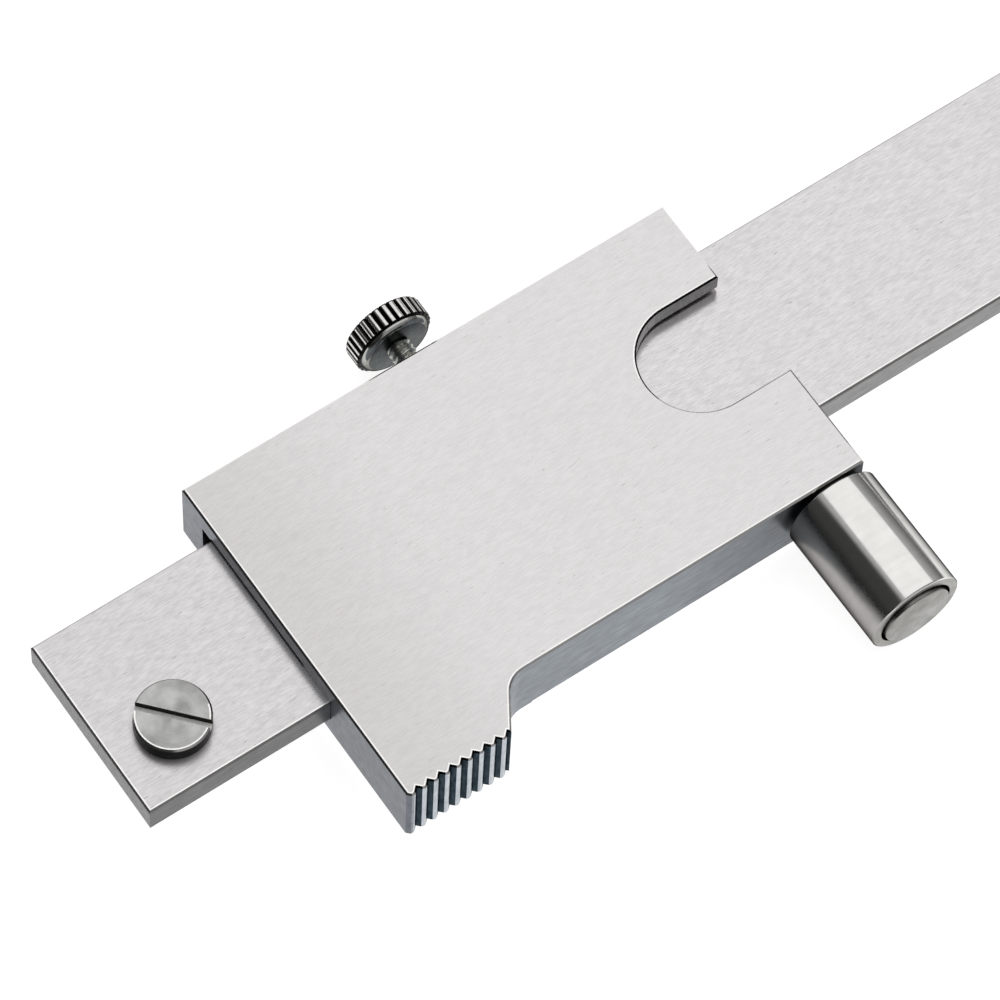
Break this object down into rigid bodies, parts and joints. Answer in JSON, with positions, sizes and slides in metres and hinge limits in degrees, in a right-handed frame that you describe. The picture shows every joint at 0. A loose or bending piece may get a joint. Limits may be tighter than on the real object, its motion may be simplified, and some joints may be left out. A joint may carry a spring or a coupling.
{
  "type": "parallel scriber",
  "caption": "Parallel scriber: flat steel beam with a scribing blade across one end and a sliding head with guide roller, thumb rest, vernier and lock screw.",
  "frame": {"origin": "under the middle of the tool's outer box, at the level on which the roller and the scriber blade lie", "axes": "+X along the beam towards the scribing end, +Y towards the lock screw, +Z out of the back of the beam, so the scale faces down"},
  "size_m": [0.264, 0.0424, 0.0078],
  "materials": {
    "satin_stainless": "satin stainless steel, fine grain along the beam",
    "turned_stainless": "turned and lightly polished",
    "hardened_blade": "hardened and ground",
    "carbide": "ground hard metal, dark grey",
    "bronze": "bright, as rolled",
    "dark_steel": "blackened",
    "ground_steel": "hardened, ground and polished"
  },
  "bodies": {
    "beam": {"beam": "satin_stainless", "stop_screw": "turned_stainless", "scriber_blade": "hardened_blade", "carbide_tip": "carbide", "scriber_screw": "turned_stainless"},
    "slider": {"slider_body": "satin_stainless", "vernier_plate": "satin_stainless", "vernier_screws": "turned_stainless", "gib_strip": "bronze", "gib_screws": "dark_steel", "roller_pin": "ground_steel", "roller_washer": "dark_steel"},
    "roller": {"roller_sleeve": "ground_steel"},
    "lock_pad": {"lock_pad": "bronze"},
    "lock_screw": {"lock_screw": "turned_stainless"}
  },
  "joints": [
    {"name": "slider_slide", "type": "slide", "parent": "beam", "child": "slider", "axis": [1, 0, 0], "range_m": [-0.0074, 0.19565]},
    {"name": "roller_spin", "type": "hinge", "parent": "slider", "child": "roller", "pos_m": [-0.07565, -0.01551, 0.0039], "axis": [0, 1, 0], "continuous": true},
    {"name": "lock_pad_lift", "type": "slide", "parent": "slider", "child": "lock_pad", "axis": [0, 1, 0], "range_m": [0, 0.000675]},
    {"name": "lock_screw_turn", "type": "hinge", "parent": "lock_pad", "child": "lock_screw", "pos_m": [-0.0951, 0.02116, 0.0039], "axis": [0, 1, 0], "range_deg": [0, 540]}
  ],
  "couplings": [
    {"joint": "lock_screw_turn", "follows": "lock_pad_lift", "rad_per_m": 13963}
  ]
}
